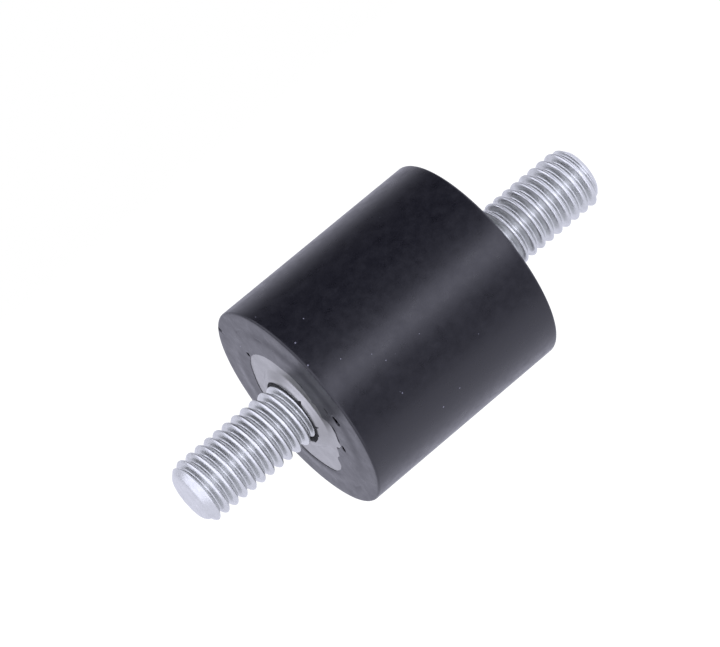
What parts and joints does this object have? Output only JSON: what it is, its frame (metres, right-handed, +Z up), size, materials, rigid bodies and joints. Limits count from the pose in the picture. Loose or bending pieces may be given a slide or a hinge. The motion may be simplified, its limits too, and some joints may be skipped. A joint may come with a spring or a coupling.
{
  "type": "bobbin vibration mount",
  "caption": "Cylindrical rubber vibration mount with a bonded steel plate and a threaded stud standing out of each end.",
  "frame": {"origin": "the middle of the rubber, on the axis of the mount", "axes": "+X along the mount's axis towards the right stud, +Z up; the mount lies on its side, as a thing that is fixed at its studs it keeps this frame"},
  "size_m": [0.0446, 0.02, 0.02],
  "materials": {
    "rubber": "black natural rubber, moulded, satin",
    "plate_steel": "bare pressed steel, satin, faint turning marks",
    "stud_steel": "zinc-plated rolled thread, dull bright"
  },
  "bodies": {
    "root": {"rubber_body": "rubber", "left_plate": "plate_steel", "right_plate": "plate_steel", "left_stud": "stud_steel", "right_stud": "stud_steel"}
  },
  "joints": []
}
